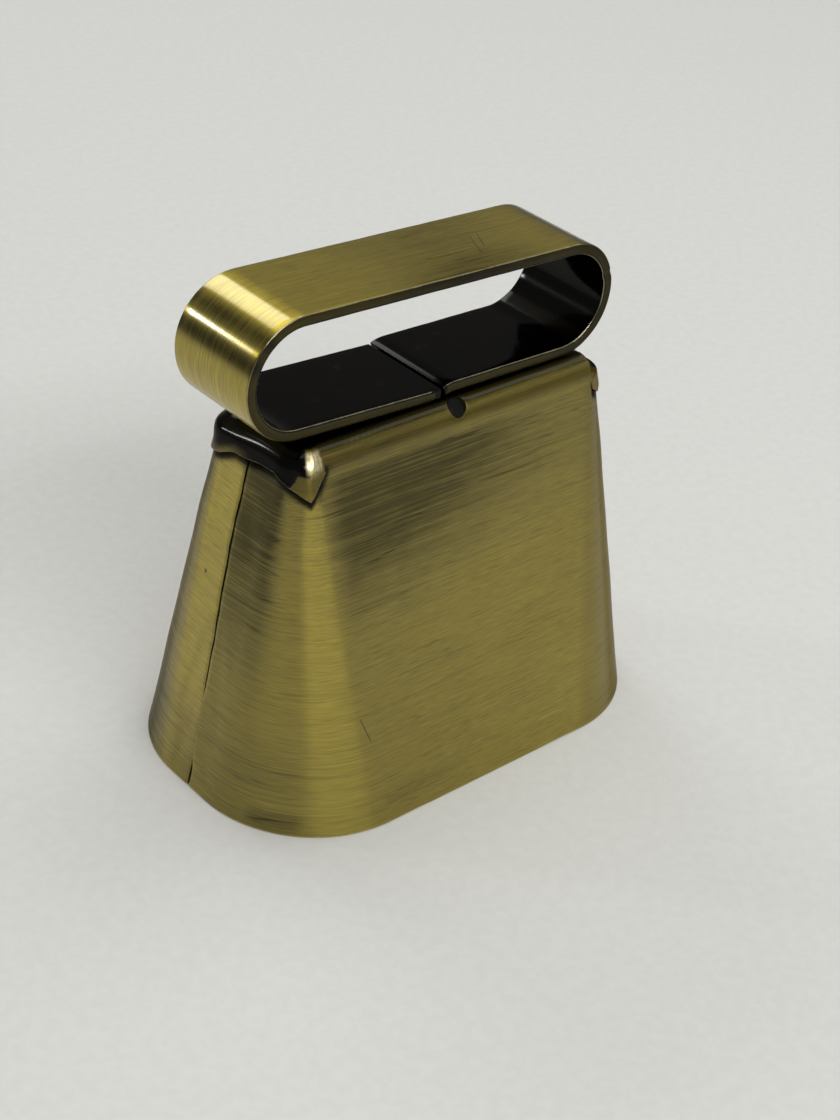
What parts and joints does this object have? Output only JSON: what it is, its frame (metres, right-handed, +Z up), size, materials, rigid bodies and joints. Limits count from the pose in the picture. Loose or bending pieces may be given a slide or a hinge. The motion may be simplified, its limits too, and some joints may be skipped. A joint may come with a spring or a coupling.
{
  "type": "dog bell",
  "caption": "Folded sheet-brass animal bell with a flat collar strap on top and a ball clapper that swings inside.",
  "frame": {"origin": "centre of the mouth, in the plane of the rim", "axes": "+Z up through the top plate, X along the bell's long side, +Y away from the broad front"},
  "size_m": [0.0456, 0.0282, 0.0455],
  "materials": {
    "bell_sheet": "antique brass plating, brushed, darkened in the folds",
    "strap_strip": "antique brass plating, brushed lengthwise, black satin inside",
    "seam_braze": "dull brazing brass, dark with flux",
    "weld_metal": "dark, rough weld metal",
    "hanger_wire": "blackened steel wire",
    "clapper_steel": "blackened steel wire, worn where the links rub",
    "clapper_iron": "dark cast iron, bright where it strikes"
  },
  "bodies": {
    "bell": {"bell_shell": "bell_sheet", "left_seam_braze": "seam_braze", "right_seam_braze": "seam_braze", "collar_strap": "strap_strip", "strap_weld": "weld_metal", "hanger_staple": "hanger_wire"},
    "ring": {"clapper_ring": "clapper_steel"},
    "clapper": {"clapper_wire": "clapper_steel", "clapper_ball": "clapper_iron"}
  },
  "joints": [
    {"name": "ring_swing", "type": "hinge", "parent": "bell", "child": "ring", "pos_m": [0, 0, 0.0302], "axis": [0, 1, 0], "range_deg": [-34, 34]},
    {"name": "clapper_swing", "type": "hinge", "parent": "ring", "child": "clapper", "pos_m": [0, 0, 0.02678], "axis": [1, 0, 0], "range_deg": [-14, 14]}
  ]
}
